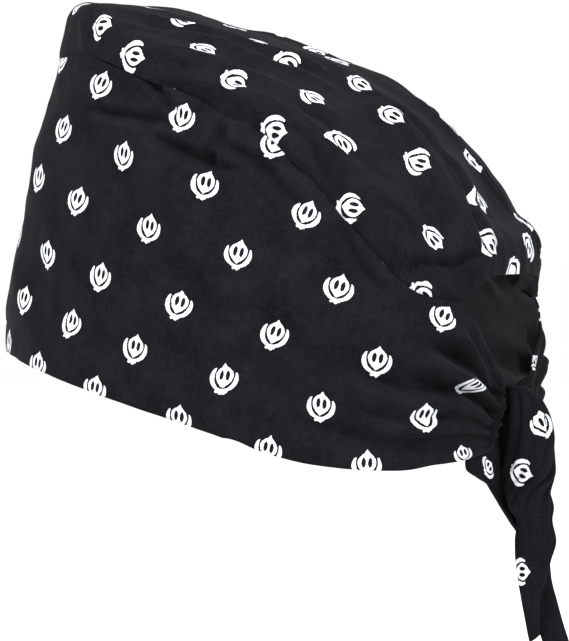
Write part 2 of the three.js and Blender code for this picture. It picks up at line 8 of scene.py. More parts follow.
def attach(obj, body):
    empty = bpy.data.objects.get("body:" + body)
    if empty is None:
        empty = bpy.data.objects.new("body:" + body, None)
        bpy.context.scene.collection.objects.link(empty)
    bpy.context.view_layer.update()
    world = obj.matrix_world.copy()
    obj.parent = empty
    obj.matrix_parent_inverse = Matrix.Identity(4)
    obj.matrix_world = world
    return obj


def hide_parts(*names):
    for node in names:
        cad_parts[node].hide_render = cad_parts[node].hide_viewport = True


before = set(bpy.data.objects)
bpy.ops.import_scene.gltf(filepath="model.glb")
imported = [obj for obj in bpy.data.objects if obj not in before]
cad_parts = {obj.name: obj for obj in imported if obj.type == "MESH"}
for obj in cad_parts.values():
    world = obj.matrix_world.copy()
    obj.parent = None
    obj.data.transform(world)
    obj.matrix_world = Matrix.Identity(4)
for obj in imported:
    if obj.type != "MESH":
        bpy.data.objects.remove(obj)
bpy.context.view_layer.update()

# The camera stands behind the wearer's left shoulder, level with the cloth and well back, as in the
# photograph: the brow is at the left of the frame and the knot at the right.
CAMERA_AZIMUTH = math.radians(112)
CAMERA_RISE = math.radians(1.5)
CAMERA_DISTANCE = 1.6
VIEW_HEIGHT = 0.2564  # how much of the upright the frame takes in at the cloth
AIM_ASIDE, AIM_UP = 0.0078, 0.0298  # the point that the camera faces, from the head opening's centre
aside = Vector((math.cos(CAMERA_AZIMUTH), math.sin(CAMERA_AZIMUTH), 0))
toward = Vector(
    (
        math.sin(CAMERA_AZIMUTH) * math.cos(CAMERA_RISE),
        -math.cos(CAMERA_AZIMUTH) * math.cos(CAMERA_RISE),
        math.sin(CAMERA_RISE),
    )
)
camera_data = bpy.data.cameras.new("camera")
camera_data.lens = camera_data.sensor_width * CAMERA_DISTANCE / VIEW_HEIGHT
camera_data.clip_start, camera_data.clip_end = 0.05, 50
camera = bpy.data.objects.new("camera", camera_data)
camera.rotation_mode = "QUATERNION"
camera.rotation_quaternion = (-toward).to_track_quat("-Z", "Y")
camera.location = aside * AIM_ASIDE + toward.cross(aside) * AIM_UP + toward * CAMERA_DISTANCE
bpy.context.scene.collection.objects.link(camera)
bpy.context.scene.camera = camera

# The side band is one deep strip of plain-woven printed cotton. It is cut level at the brow, hemmed below,
# sewn to the crown above, and drawn in to a bunch of gathers at each end, where the ties carry on from it.
HALF_WIDTH, WIDEST_AT = 80, 15  # millimetres, as are all lengths until a mesh is made
FRONT_REACH, BACK_REACH = 123, 87
TOP_HALF_WIDTH, TOP_FRONT_REACH, TOP_BACK_REACH = 72, 98, 91
HEM_HIGH, HEM_LOW, BAND_TOP = 18, 24.5, 137
GAP_CORNER, GAP_HALF_WIDTH, GAP_TOP = 39, 48, 49
KNOT_TOP, KNOT_FOOT, KNOT_HALF_WIDTH = 6, 19, 11
TOP_POWER, BACK_POWER = 2.4, 3.4  # how square the top's front and back are, seen from above
HEM_POWER, HEM_BACK_POWER = 2.12, 3.2
BOW, BOW_AT_GAP, BOW_AT_BROW = 3.2, 4, 0.9  # how far the cloth bows out; the last is a share of the first
BAND_COLUMNS, BAND_ROWS = 440, 108
CLOTH = 0.7  # millimetres of cloth, as it shows at an edge


def through(places, values, at):
    """A curve through a table's points that never overshoots them."""
    places, values = np.asarray(places, float), np.asarray(values, float)
    step = np.diff(places)
    rate = np.diff(values) / step
    slope = np.zeros(len(places))
    slope[0], slope[-1] = rate[0], rate[-1]
    level = rate[1:] * rate[:-1] > 0
    slope[1:-1][level] = 2 * rate[1:][level] * rate[:-1][level] / (rate[1:] + rate[:-1])[level]
    at = np.clip(at, places[0], places[-1])
    i = np.clip(np.searchsorted(places, at, side="right") - 1, 0, len(step) - 1)
    t, h = (at - places[i]) / step[i], step[i]
    start = (1 + 2 * t) * (1 - t) ** 2 * values[i] + t * (1 - t) ** 2 * h * slope[i]
    return start + t * t * (3 - 2 * t) * values[i + 1] + t * t * (t - 1) * h * slope[i + 1]


def ease(v):
    v = np.clip(v, 0, 1)
    return v * v * (3 - 2 * v)


def plan(angle, half, front, back, front_power, back_power):
    """The cap's plan at one level: an egg made of two superellipses that share their widest station."""
    a = np.radians(np.abs(angle))
    ahead = np.cos(a) > 0
    power = 2 / np.where(ahead, front_power, back_power)
    side = np.abs(np.sin(a)) ** power
    along = np.abs(np.cos(a)) ** power
    return np.sign(angle) * half * side, WIDEST_AT + np.where(ahead, -front, back) * along


def angle_behind(x):
    return 180 - math.degrees(math.asin((x / TOP_HALF_WIDTH) ** (BACK_POWER / 2)))


gap_angle, end_angle = angle_behind(GAP_HALF_WIDTH), angle_behind(KNOT_HALF_WIDTH)

# Angles go round from the brow, in degrees. Drops, rises and climbs are shares of the way down or up.
HEM_ANGLES = [0, 20, 30, 45, 60, 75, 85, 90, 93, 97, 105, 118, 130, 145]
HEM_DROPS = [0, 0.019, 0.047, 0.15, 0.3, 0.495, 0.64, 0.725, 0.815, 0.88, 0.945, 0.99, 1, 0.955]
SEAM_SHARES = [
    0, 0.21, 0.338, 0.38, 0.423, 0.486, 0.528, 0.56, 0.602, 0.644, 0.689, 0.753, 0.839, 0.9, 1,
]
SEAM_RISES = [
    0.974, 0.974, 0.978, 0.961, 0.926, 0.869, 0.829, 0.792, 0.705, 0.55, 0.419, 0.258, 0.091, 0.031, 0,
]
GAP_INWARD = [0, 0.15, 0.38, 0.62, 1]  # places along the back gap's edge, from its corner inward
GAP_BELOW = [0, 0.155, 0.43, 0.735, 1]  # how the band's free edge falls there to the knot
TOP_ANGLES, TOP_SHARES = [0, 60, 90, 105, 125, 150], [0.9, 0.93, 0.97, 1.01, 1.02, 1]


def hem_height(angle):
    a = np.abs(angle)
    low = HEM_HIGH - (HEM_HIGH + HEM_LOW) * through(HEM_ANGLES, HEM_DROPS, a)
    near = np.clip((a - HEM_ANGLES[-1]) / (end_angle - HEM_ANGLES[-1]), 0, 1)
    return low + near * (-KNOT_FOOT - low)


def seam_height(angle):
    return GAP_CORNER + (BAND_TOP - GAP_CORNER) * through(
        SEAM_SHARES, SEAM_RISES, np.abs(angle) / gap_angle
    )


def gap_edge(angle, heights, target, reach):
    """Height of a free edge of the back gap, from its corner in to its far end."""
    behind = np.clip(np.sin(np.radians(180 - np.abs(angle))), 0, 1)
    x = TOP_HALF_WIDTH * behind ** (2 / BACK_POWER)
    inward = np.clip((GAP_HALF_WIDTH - x) / (GAP_HALF_WIDTH - reach), 0, 1)
    return GAP_CORNER + (target - GAP_CORNER) * through(GAP_INWARD, heights, inward)


def top_plan(angle):
    half = TOP_HALF_WIDTH * through(TOP_ANGLES, TOP_SHARES, np.abs(angle))
    return plan(angle, half, TOP_FRONT_REACH, TOP_BACK_REACH, TOP_POWER, BACK_POWER)


def band_surface(angle, up):
    """The band's bare form: ruled from the hem to its upper edge and bowed out between them."""
    angle, up = np.broadcast_arrays(np.asarray(angle, float), np.asarray(up, float))
    x0, y0 = plan(angle, HALF_WIDTH, FRONT_REACH, BACK_REACH, HEM_POWER, HEM_BACK_POWER)
    x1, y1 = top_plan(angle)
    z0 = hem_height(angle)
    beside = gap_edge(angle, GAP_BELOW, KNOT_TOP, KNOT_HALF_WIDTH)
    z1 = np.where(np.abs(angle) > gap_angle, beside, seam_height(angle))
    x, y, z = x0 + (x1 - x0) * up, y0 + (y1 - y0) * up, z0 + (z1 - z0) * up
    near_gap = ease((np.abs(angle) - 120) / 45)
    at_brow = ease(1 - np.abs(angle) / 60)
    bow = BOW + (BOW_AT_GAP - BOW) * near_gap
    bow = bow + (BOW * BOW_AT_BROW - bow) * at_brow
    tuck = ease((np.abs(angle) - gap_angle) / (end_angle - gap_angle))
    bow = np.sin(np.pi * up) * bow * (1 - 0.8 * tuck)
    out = np.stack([x / HALF_WIDTH, (y - WIDEST_AT) / BACK_REACH], -1)
    out /= np.linalg.norm(out, axis=-1, keepdims=True)
    return np.stack([x + out[..., 0] * bow, y + out[..., 1] * bow, z], -1)


def normals_of(grid, wrapped=False):
    """Unit normals of a grid of points, out of the cap."""
    around = np.roll(grid, -1, 0) - np.roll(grid, 1, 0) if wrapped else np.gradient(grid, axis=0)
    normal = np.cross(around, np.gradient(grid, axis=1))
    return normal / np.maximum(np.linalg.norm(normal, axis=-1, keepdims=True), 1e-9)


FAR_SIDE_SHIFT = 0.02  # how far the far side's folds are moved, so that the two sides differ
PATH_POINTS = 29
FADE_IN, FADE_OUT = 0.35, 0.3  # the shares of a fold's length over which it comes up and dies away
HELD_FROM = 0.95  # a fold that ends past this share of the way round doesn't die away


def fold_field(points, normal, folds, surface, last):
    """How far the folds push the cloth along its normal. Each fold is a line over the bare form, with a
    depth, a width at its start and at its end, and a lip beside it. A step is a pleat: one side stands over
    the other."""
    field = np.zeros(points.shape[:-1])
    for number, (start, via, stop, depth, wide, narrow, lip, step) in enumerate(folds):
        t = np.linspace(0, 1, PATH_POINTS)[:, None]
        start, via, stop = (np.array(p, float) for p in (start, via, stop))
        bend = 2 * via - (start + stop) / 2
        path = (1 - t) ** 2 * start + 2 * t * (1 - t) * bend + t * t * stop
        t = t[:, 0]
        width = wide + (narrow - wide) * t
        strength = ease(t / FADE_IN)
        if stop[0] < HELD_FROM:
            strength = strength * ease((1 - t) / FADE_OUT)
        for side in (1, -1):
            moved = path
            if side < 0:
                moved = path + FAR_SIDE_SHIFT * math.sin(5.3 * number + 1) * (1 - t)[:, None]
            line = surface(side * last * moved[:, 0], np.clip(moved[:, 1], 0, 1))
            near = np.full(field.shape, 1e9)
            weight, hand, reach = np.zeros(field.shape), np.zeros(field.shape), np.ones(field.shape)
            for n in range(len(line) - 1):
                run = line[n + 1] - line[n]
                gone = points - line[n]
                share = np.clip(gone @ run / (run @ run), 0, 1)
                distance = np.linalg.norm(gone - share[..., None] * run, axis=-1)
                closer = distance < near
                near = np.where(closer, distance, near)
                weight = np.where(closer, strength[n] + (strength[n + 1] - strength[n]) * share, weight)
                reach = np.where(closer, width[n] + (width[n + 1] - width[n]) * share, reach)
                turn = np.einsum("...k,...k", np.cross(run, gone), normal) * side
                hand = np.where(closer, np.sign(turn), hand)
            off = near / reach
            crease = -depth * np.exp(-(off**1.4)) + lip * np.exp(-((off - 2.1) ** 2))
            signed = near * hand
            pleat = step * np.exp(-np.abs(signed) / (2.2 * reach)) / (1 + np.exp(-signed / 0.45))
            field += weight * (crease + pleat)
    return field


def creases(points, seed, size, height):
    """Small random unevenness of the cloth, the same at each run."""
    flat = points.reshape(-1, 3)
    shift = Vector((seed * 3.1, seed * 1.7, seed * 2.3))
    values = [noise.noise(Vector(p) / size + shift) for p in flat]
    return height * np.array(values).reshape(points.shape[:-1])


def node_in(tree, kind, **values):
    """A new node with its settings, its plain input values and its links in one call."""
    node = tree.nodes.new(kind)
    for key, value in values.items():
        if key.startswith("in_"):
            spot = key[3:]
            spot = node.inputs[int(spot)] if spot.isdigit() else node.inputs[spot.replace("_", " ")]
            if isinstance(value, bpy.types.NodeSocket):
                tree.links.new(value, spot)
            else:
                spot.default_value = value
        else:
            setattr(node, key, value)
    return node


def math_in(tree, operation, *values):
    node = node_in(tree, "ShaderNodeMath", operation=operation)
    for socket, value in zip(node.inputs, values):
        if isinstance(value, bpy.types.NodeSocket):
            tree.links.new(value, socket)
        else:
            socket.default_value = value
    return node.outputs[0]


def new_group(name, inputs, outputs):
    group = bpy.data.node_groups.new(name, "ShaderNodeTree")
    for socket, kind, value in inputs:
        made = group.interface.new_socket(socket, in_out="INPUT", socket_type=kind)
        if value is not None:
            made.default_value = value
    for socket, kind in outputs:
        group.interface.new_socket(socket, in_out="OUTPUT", socket_type=kind)
    return group, group.nodes.new("NodeGroupInput"), group.nodes.new("NodeGroupOutput")


def plain_weave():
    """Plain-woven cotton: crossing threads of uneven thickness. It gives a height, and a tone from 0 to 1
    that varies with the threads and with wear."""
    group, given, made = new_group(
        "plain_weave",
        [("Cloth", "NodeSocketVector", None), ("Thread", "NodeSocketFloat", 0.0004)],
        [("Height", "NodeSocketFloat"), ("Tone", "NodeSocketFloat")],
    )
    apart = node_in(group, "ShaderNodeSeparateXYZ", in_0=given.outputs["Cloth"])
    waves = []
    for axis in (0, 1):
        turns = math_in(group, "DIVIDE", apart.outputs[axis], given.outputs["Thread"])
        waves.append(math_in(group, "SINE", math_in(group, "MULTIPLY", turns, math.pi)))
    crossing = math_in(group, "MULTIPLY", waves[0], waves[1])
    slubs = []
    for stretch in ((160, 1500, 1), (1500, 160, 1)):
        scaled = node_in(
            group, "ShaderNodeVectorMath", operation="MULTIPLY",
            in_0=given.outputs["Cloth"], in_1=stretch,
        )
        spots = node_in(
            group, "ShaderNodeTexNoise", in_Vector=scaled.outputs[0], in_Scale=1.0, in_Detail=2.0
        )
        slubs.append(spots.outputs["Fac"])
    slub = math_in(group, "MULTIPLY", math_in(group, "ADD", slubs[0], slubs[1]), 0.5)
    height = math_in(group, "ADD", math_in(group, "MULTIPLY", crossing, 0.35), slub)
    group.links.new(height, made.inputs["Height"])
    rubbed = node_in(
        group, "ShaderNodeTexNoise", in_Vector=given.outputs["Cloth"],
        in_Scale=55.0, in_Detail=6.0, in_Roughness=0.7,
    )
    both = math_in(group, "MULTIPLY", math_in(group, "ADD", slub, rubbed.outputs["Fac"]), 0.5)
    tone = node_in(group, "ShaderNodeMapRange", in_0=both, in_1=0.36, in_2=0.66, in_3=0.0, in_4=1.0)
    group.links.new(tone.outputs[0], made.inputs["Tone"])
    return group


ACROSS, DROP = 43.3, 23.0  # the print's repeat: along a row, and from one row to the next
# The emblem, in mm from its middle. Ovals are given by centre across and up, half width and half height,
# and the round's line by shares of its height and of its greatest half width.
RAGGED = 0.5  # how far the ink's edge wanders
ROUND_FOOT, ROUND_TIP, ROUND_WIDE = -3.8, 5.5, 5.0
ROUND_LINE = [
    (0, 0.02), (0.08, 0.2), (0.16, 0.38), (0.3, 0.6), (0.44, 0.7),
    (0.54, 0.71), (0.66, 0.63), (0.78, 0.42), (0.88, 0.18), (1, 0.0),
]
SLOT = (1.27, 0.85, 0.86, 1.9)
BLADE_OUTER, BLADE_INNER, BLADE_TOP = (0.0, -0.3, 5.75, 4.95), (0.0, 1.1, 4.25, 5.4), 2.6
FOOT_DOWN, FOOT_WIDE, FOOT_TALL, FOOT_WAVE = 5.45, 1.9, 0.75, 0.25


def emblem_print():
    """The white print: a small emblem in a half-drop repeat, a traditional religious ornament. Each is a
    pointed round with two slots, held between two curved blades that cross on a foot. It gives a mask, and
    where the ink is worn thin."""
    group, given, made = new_group(
        "emblem_print",
        [
            ("Cloth", "NodeSocketVector", None),
            ("Across", "NodeSocketFloat", ACROSS / 1000),
            ("Drop", "NodeSocketFloat", DROP / 1000),
        ],
        [("Mask", "NodeSocketFloat"), ("Worn", "NodeSocketFloat")],
    )

    def m(operation, *values):
        return math_in(group, operation, *values)

    def vectors(operation, **values):
        return node_in(group, "ShaderNodeVectorMath", operation=operation, **values).outputs[0]

    def spots(scale, detail):
        return node_in(
            group, "ShaderNodeTexNoise", in_Vector=given.outputs["Cloth"], in_Scale=scale, in_Detail=detail
        )

    ragged = vectors("SUBTRACT", in_0=spots(1800.0, 1.0).outputs["Color"], in_1=(0.5,) * 3)
    ragged = vectors("SCALE", in_0=ragged, in_Scale=RAGGED / 1000)
    moved = vectors("ADD", in_0=given.outputs["Cloth"], in_1=ragged)
    apart = node_in(group, "ShaderNodeSeparateXYZ", in_0=moved)
    row = m("ROUND", m("DIVIDE", apart.outputs[1], given.outputs["Drop"]))
    y = m("SUBTRACT", apart.outputs[1], m("MULTIPLY", row, given.outputs["Drop"]))
    half_drop = m("MULTIPLY", m("MULTIPLY", row, 0.5), given.outputs["Across"])
    shifted = m("SUBTRACT", apart.outputs[0], half_drop)
    column = m("ROUND", m("DIVIDE", shifted, given.outputs["Across"]))
    x = m("SUBTRACT", shifted, m("MULTIPLY", column, given.outputs["Across"]))
    x, y = m("MULTIPLY", x, 1000.0), m("MULTIPLY", y, 1000.0)
    side = m("ABSOLUTE", x)

    def inside(value, limit, soft=0.12):
        """1 where value is under limit, with a soft edge."""
        return node_in(
            group, "ShaderNodeMapRange", interpolation_type="SMOOTHSTEP", in_0=value,
            in_1=limit - soft if isinstance(limit, float) else m("SUBTRACT", limit, soft),
            in_2=limit + soft if isinstance(limit, float) else m("ADD", limit, soft), in_3=1.0, in_4=0.0,
        ).outputs[0]

    def far(off_x, off_y):
        return m("SQRT", m("ADD", m("MULTIPLY", off_x, off_x), m("MULTIPLY", off_y, off_y)))

    def oval(centre_x, centre_y, half_wide, half_tall):
        """Distance from an oval's centre, 1 on its line."""
        off_x = m("DIVIDE", m("SUBTRACT", side, centre_x), half_wide)
        return far(off_x, m("DIVIDE", m("SUBTRACT", y, centre_y), half_tall))

    # The round: its half width against height, from its foot point up to its tip.
    height = node_in(
        group, "ShaderNodeMapRange", in_0=y, in_1=ROUND_FOOT, in_2=ROUND_TIP, in_3=0.0, in_4=1.0
    )
    profile = node_in(group, "ShaderNodeFloatCurve", in_Factor=1.0, in_Value=height.outputs[0])
    curve = profile.mapping.curves[0]
    curve.points[0].location, curve.points[1].location = ROUND_LINE[0], ROUND_LINE[-1]
    for point in ROUND_LINE[1:-1]:
        curve.points.new(*point)
    profile.mapping.update()
    middle, reach = (ROUND_TIP + ROUND_FOOT) / 2, (ROUND_TIP - ROUND_FOOT) / 2
    round_mask = m(
        "MULTIPLY",
        inside(side, m("MULTIPLY", profile.outputs[0], ROUND_WIDE)),
        inside(m("ABSOLUTE", m("SUBTRACT", y, middle)), reach),
    )
    round_mask = m("MULTIPLY", round_mask, m("SUBTRACT", 1.0, inside(oval(*SLOT), 1.0)))

    # The blades: the crescent between two ovals, thickest low down, with its points up beside the round.
    blade = m("MULTIPLY", inside(oval(*BLADE_OUTER), 1.0, 0.022), inside(y, BLADE_TOP))
    blade = m("MULTIPLY", blade, m("SUBTRACT", 1.0, inside(oval(*BLADE_INNER), 1.0, 0.022)))

    # The foot: a short waved bar under the crossing.
    wave = m("MULTIPLY", m("SINE", m("MULTIPLY", x, 3.0)), FOOT_WAVE)
    foot_y = m("DIVIDE", m("ADD", m("ADD", y, FOOT_DOWN), wave), FOOT_TALL)
    foot = inside(far(m("DIVIDE", x, FOOT_WIDE), foot_y), 1.0)

    mask = m("MAXIMUM", m("MAXIMUM", round_mask, blade), foot)
    worn = node_in(
        group, "ShaderNodeMapRange", in_0=spots(420.0, 3.0).outputs["Fac"],
        in_1=0.42, in_2=0.72, in_3=0.0, in_4=1.0,
    )
    group.links.new(mask, made.inputs["Mask"])
    group.links.new(worn.outputs[0], made.inputs["Worn"])
    return group


WEAVE_BUMP, WEAVE_DEEP = 0.35, 0.00012
THREAD_DARK, THREAD_PALE = (0.0012, 0.0011, 0.0016, 1), (0.0061, 0.0058, 0.0074, 1)
INK, INK_WORN = (0.44, 0.45, 0.465, 1), (0.36, 0.37, 0.39, 1)
REVERSE_DARK, REVERSE_PALE = (0.012, 0.0115, 0.0135, 1), (0.024, 0.023, 0.026, 1)


def blank_material(name):
    """A new material with nothing in its tree but an output, and its tree."""
    material = bpy.data.materials.new(name)
    material.use_nodes = True
    material.node_tree.nodes.clear()
    return material, material.node_tree, material.node_tree.nodes.new("ShaderNodeOutputMaterial")


def mixed(tree, share, first, second):
    mix = node_in(tree, "ShaderNodeMix", data_type="RGBA", in_0=share, in_6=first, in_7=second)
    return mix.outputs[2]


def printed_cotton(weave_group, print_group):
    """Black cotton, matt, with the white print lying on its outer face."""
    material, tree, out = blank_material("printed_cotton")
    cloth = node_in(tree, "ShaderNodeUVMap", uv_map="cloth")
    weave = node_in(tree, "ShaderNodeGroup", node_tree=weave_group, in_Cloth=cloth.outputs[0])
    lies = node_in(tree, "ShaderNodeUVMap", uv_map="print")
    printed = node_in(tree, "ShaderNodeGroup", node_tree=print_group, in_Cloth=lies.outputs[0])
    mask = printed.outputs["Mask"]
    black = mixed(tree, weave.outputs["Tone"], THREAD_DARK, THREAD_PALE)
    white = mixed(tree, printed.outputs["Worn"], INK, INK_WORN)
    height = math_in(tree, "ADD", weave.outputs["Height"], math_in(tree, "MULTIPLY", mask, 0.6))
    bump = node_in(
        tree, "ShaderNodeBump", in_Strength=WEAVE_BUMP, in_Distance=WEAVE_DEEP, in_Height=height
    )
    rough = math_in(tree, "SUBTRACT", 0.86, math_in(tree, "MULTIPLY", mask, 0.22))
    shader = node_in(
        tree, "ShaderNodeBsdfPrincipled", in_Base_Color=mixed(tree, mask, black, white),
        in_Roughness=rough, in_Normal=bump.outputs[0],
    )
    shader.inputs["Specular IOR Level"].default_value = 0.035
    shader.inputs["Sheen Weight"].default_value = 0.012
    shader.inputs["Sheen Roughness"].default_value = 0.45
    shader.inputs["Sheen Tint"].default_value = (0.8, 0.8, 0.9, 1)
    tree.links.new(shader.outputs[0], out.inputs[0])
    return material


def plain_cotton(weave_group):
    """The reverse of the cloth: the same weave, unprinted and a little greyer."""
    material, tree, out = blank_material("plain_cotton")
    cloth = node_in(tree, "ShaderNodeUVMap", uv_map="cloth")
    weave = node_in(tree, "ShaderNodeGroup", node_tree=weave_group, in_Cloth=cloth.outputs[0])
    grey = mixed(tree, weave.outputs["Tone"], REVERSE_DARK, REVERSE_PALE)
    bump = node_in(
        tree, "ShaderNodeBump", in_Strength=WEAVE_BUMP, in_Distance=WEAVE_DEEP,
        in_Height=weave.outputs["Height"],
    )
    shader = node_in(tree, "ShaderNodeBsdfPrincipled", in_Base_Color=grey, in_Normal=bump.outputs[0])
    shader.inputs["Roughness"].default_value = 0.9
    shader.inputs["Specular IOR Level"].default_value = 0.07
    tree.links.new(shader.outputs[0], out.inputs[0])
    return material


weave_nodes = plain_weave()
printed_face, plain_face = printed_cotton(weave_nodes, emblem_print()), plain_cotton(weave_nodes)
LEAST_PULL, MOST_PULL, MOST_LEAN = 0.75, 1.7, 0.8


def pull(points, coordinates, wrapped=False):
    """At each point of a bare form, how much closer than true the print's columns and rows lie, and how far
    the columns lean along the rows."""

    def slopes(values):
        around = np.gradient(values, axis=0)
        if wrapped:
            around = (np.roll(values, -1, 0) - np.roll(values, 1, 0)) / 2
        return around, np.gradient(values, axis=1)

    (p, q), (f, g) = slopes(points), slopes(coordinates)
    pp, pq, qq = ((i * j).sum(-1) for i, j in ((p, p), (p, q), (q, q)))
    area = np.maximum(pp * qq - pq * pq, 1e-6)

    def product(i, j):
        """The two coordinates' gradients along the cloth, multiplied."""
        crossed = f[..., i] * g[..., j] + g[..., i] * f[..., j]
        return (qq * f[..., i] * f[..., j] - pq * crossed + pp * g[..., i] * g[..., j]) / area

    rows = np.sqrt(np.maximum(product(1, 1), 1e-6))
    lean = product(0, 1) / rows
    columns = np.sqrt(np.maximum(product(0, 0) - lean**2, 0))
    wide, tall = np.clip(columns, LEAST_PULL, MOST_PULL), np.clip(rows, LEAST_PULL, MOST_PULL)
    return np.stack([wide, tall, np.clip(lean, -MOST_LEAN, MOST_LEAN)], -1)


def laid_print(coordinates, faces, pulled, last):
    """The print's place at each face corner. The rows and columns follow the cloth's shape, and an emblem
    keeps its true shape where they are pulled closer or lean. Past the last place it is folded out of
    sight."""
    middle = coordinates[faces].mean(1)
    row = np.round(middle[:, 1] / DROP)
    column = np.round((middle[:, 0] - row * ACROSS / 2) / ACROSS)
    centre = np.stack([(column + row / 2) * ACROSS, row * DROP], -1)
    off = coordinates[faces] - centre[:, None]
    wide, tall, lean = np.moveaxis(pulled[faces], -1, 0)
    up = off[..., 1] / tall
    laid = centre[:, None] + np.stack([(off[..., 0] - lean * up) / wide, up], -1)
    laid[centre[:, 0] > last] = (ACROSS / 2, 0)
    return laid


def cloth_mesh(name, outer, inner, coordinates, pulled, last, wrapped=False):
    """A closed mesh of a cloth panel from grids of points outside and inside. It has two UV maps in metres:
    the cloth's own coordinates for the weave, and the print's place."""
    columns, rows = outer.shape[:2]
    points = np.concatenate([outer.reshape(-1, 3), inner.reshape(-1, 3)]) / 1000
    step = columns * rows
    i = np.arange(columns if wrapped else columns - 1)
    j = np.arange(rows - 1)
    a, b = i[:, None] * rows + j, ((i + 1) % columns)[:, None] * rows + j
    out = np.stack([a, b, b + 1, a + 1], -1).reshape(-1, 4)
    back = np.stack([a, a + 1, b + 1, b], -1).reshape(-1, 4) + step
    i0, i1 = i * rows, ((i + 1) % columns) * rows
    low = np.stack([i1, i0, i0 + step, i1 + step], -1)
    high = np.stack([i0, i1, i1 + step, i0 + step], -1) + rows - 1
    faces = [out, back, low, high]
    if not wrapped:
        end = (columns - 1) * rows
        faces.append(np.stack([j, j + 1, j + 1 + step, j + step], -1))
        faces.append(np.stack([j + 1 + end, j + end, j + end + step, j + 1 + end + step], -1))
    faces = np.concatenate(faces)
    mesh = bpy.data.meshes.new(name)
    mesh.from_pydata(points.tolist(), [], faces.tolist())
    both = np.concatenate([coordinates.reshape(-1, 2), coordinates.reshape(-1, 2)]) / 1000
    layer = mesh.uv_layers.new(name="cloth")
    layer.data.foreach_set("uv", both[faces.ravel()].astype(np.float32).ravel())
    pulled = np.concatenate([pulled.reshape(-1, 3), pulled.reshape(-1, 3)])
    laid = laid_print(both * 1000, faces, pulled, last) / 1000
    layer = mesh.uv_layers.new(name="print")
    layer.data.foreach_set("uv", laid.astype(np.float32).ravel())
    mesh.polygons.foreach_set("use_smooth", np.ones(len(faces), bool))
    piece = bpy.data.objects.new(name, mesh)
    mesh.materials.append(printed_face)
    mesh.materials.append(plain_face)
    unprinted = np.zeros(len(faces), np.int32)
    unprinted[len(out) : len(out) + len(back)] = 1
    mesh.polygons.foreach_set("material_index", unprinted)
    mesh.update()
    bpy.context.scene.collection.objects.link(piece)
    return piece


def even_columns(count, last, edge, closer=0):
    """Angles that space a panel's columns evenly along its edge, or closer on the side that shows."""
    fine = np.linspace(-last, last, 2001)
    line = edge(fine)
    length = np.concatenate([[0], np.cumsum(np.linalg.norm(np.diff(line, axis=0), axis=1))])
    t = np.linspace(0, 1, count)
    return np.interp((t + closer * t * (1 - t)) * length[-1], length, fine)


# Where the band's folds run: start, middle and end, each as (share of the way from brow to knot, share of
# the way up), then depth, width at the start and at the end, lip and step in mm. The long ones gather into
# the knot.
BAND_FOLDS = [
    ((0.56, 0.38), (0.78, 0.455), (0.975, 0.44), 5.0, 5.4, 1.5, 1.5, 0),
    ((0.68, 0.6), (0.82, 0.49), (0.975, 0.52), 4.4, 4.6, 1.3, 1.4, 0),
    ((0.75, 0.8), (0.85, 0.67), (0.975, 0.72), 4.4, 4.6, 1.5, 1.4, 0),
    ((0.5, 0.12), (0.72, 0.155), (0.975, 0.185), 4.0, 5.4, 1.3, 1.3, 0),
    ((0.58, 0.07), (0.76, 0.1), (0.975, 0.09), 2.4, 5, 1.1, 0.9, 0),
    ((0.56, 0.23), (0.76, 0.285), (0.975, 0.29), 4.6, 5.4, 1.4, 1.4, 0),
    ((0.72, 0.36), (0.83, 0.37), (0.975, 0.36), 2.2, 4, 1.0, 1.0, 0),
    ((0.8, 0.74), (0.88, 0.6), (0.975, 0.62), 2.8, 4, 1.1, 1.1, 0),
    ((0.86, 0.9), (0.91, 0.82), (0.975, 0.84), 2.2, 3, 1.0, 0.9, 0),
    ((0.36, 0.35), (0.487, 0.385), (0.62, 0.53), 2.2, 9, 9, 1.2, 0),
    ((0.41, 0.205), (0.52, 0.215), (0.66, 0.21), 2.4, 7, 7, 1.3, 0),
    ((0.29, 0.86), (0.384, 0.623), (0.47, 0.46), 2.6, 8, 9, 1.8, 0),
    ((0.17, 0.54), (0.301, 0.2), (0.5, 0.26), 1.8, 8, 8, 1.0, 0),
    ((0.28, 0.82), (0.378, 0.86), (0.46, 0.9), 2.8, 1.7, 2.2, 1.3, 0),
    ((0.39, 1.0), (0.429, 0.962), (0.46, 0.9), 2.6, 1.5, 1.8, 1.2, 0),
    ((0.39, 0.87), (0.462, 0.82), (0.52, 0.86), 3.0, 2, 2.6, 1.5, 0),
    ((0.499, 1.0), (0.497, 0.908), (0.49, 0.8), 2.8, 2, 2.4, 1.3, 0),
    ((0.505, 1.0), (0.513, 0.887), (0.58, 0.88), 2.4, 1.8, 2.4, 1.2, 0),
    ((0.605, 1.0), (0.634, 0.879), (0.71, 0.87), 2.4, 1.8, 2.6, 1.2, 0),
]
TUCK_START, TUCK_DEPTH = 17, 6  # beside the knot the gathered end turns in behind the roll
GATHERS_FROM, GATHERS_OVER = 0.86, 0.12  # where they begin and how soon they are full, in shares round
GATHERS_DEEP = 0.65
COARSE_CREASES, FINE_CREASES = (30, 1.8), (10, 0.7)  # how wide and how high they are


def band_middle(angle):
    return band_surface(angle, np.full_like(angle, 0.5))


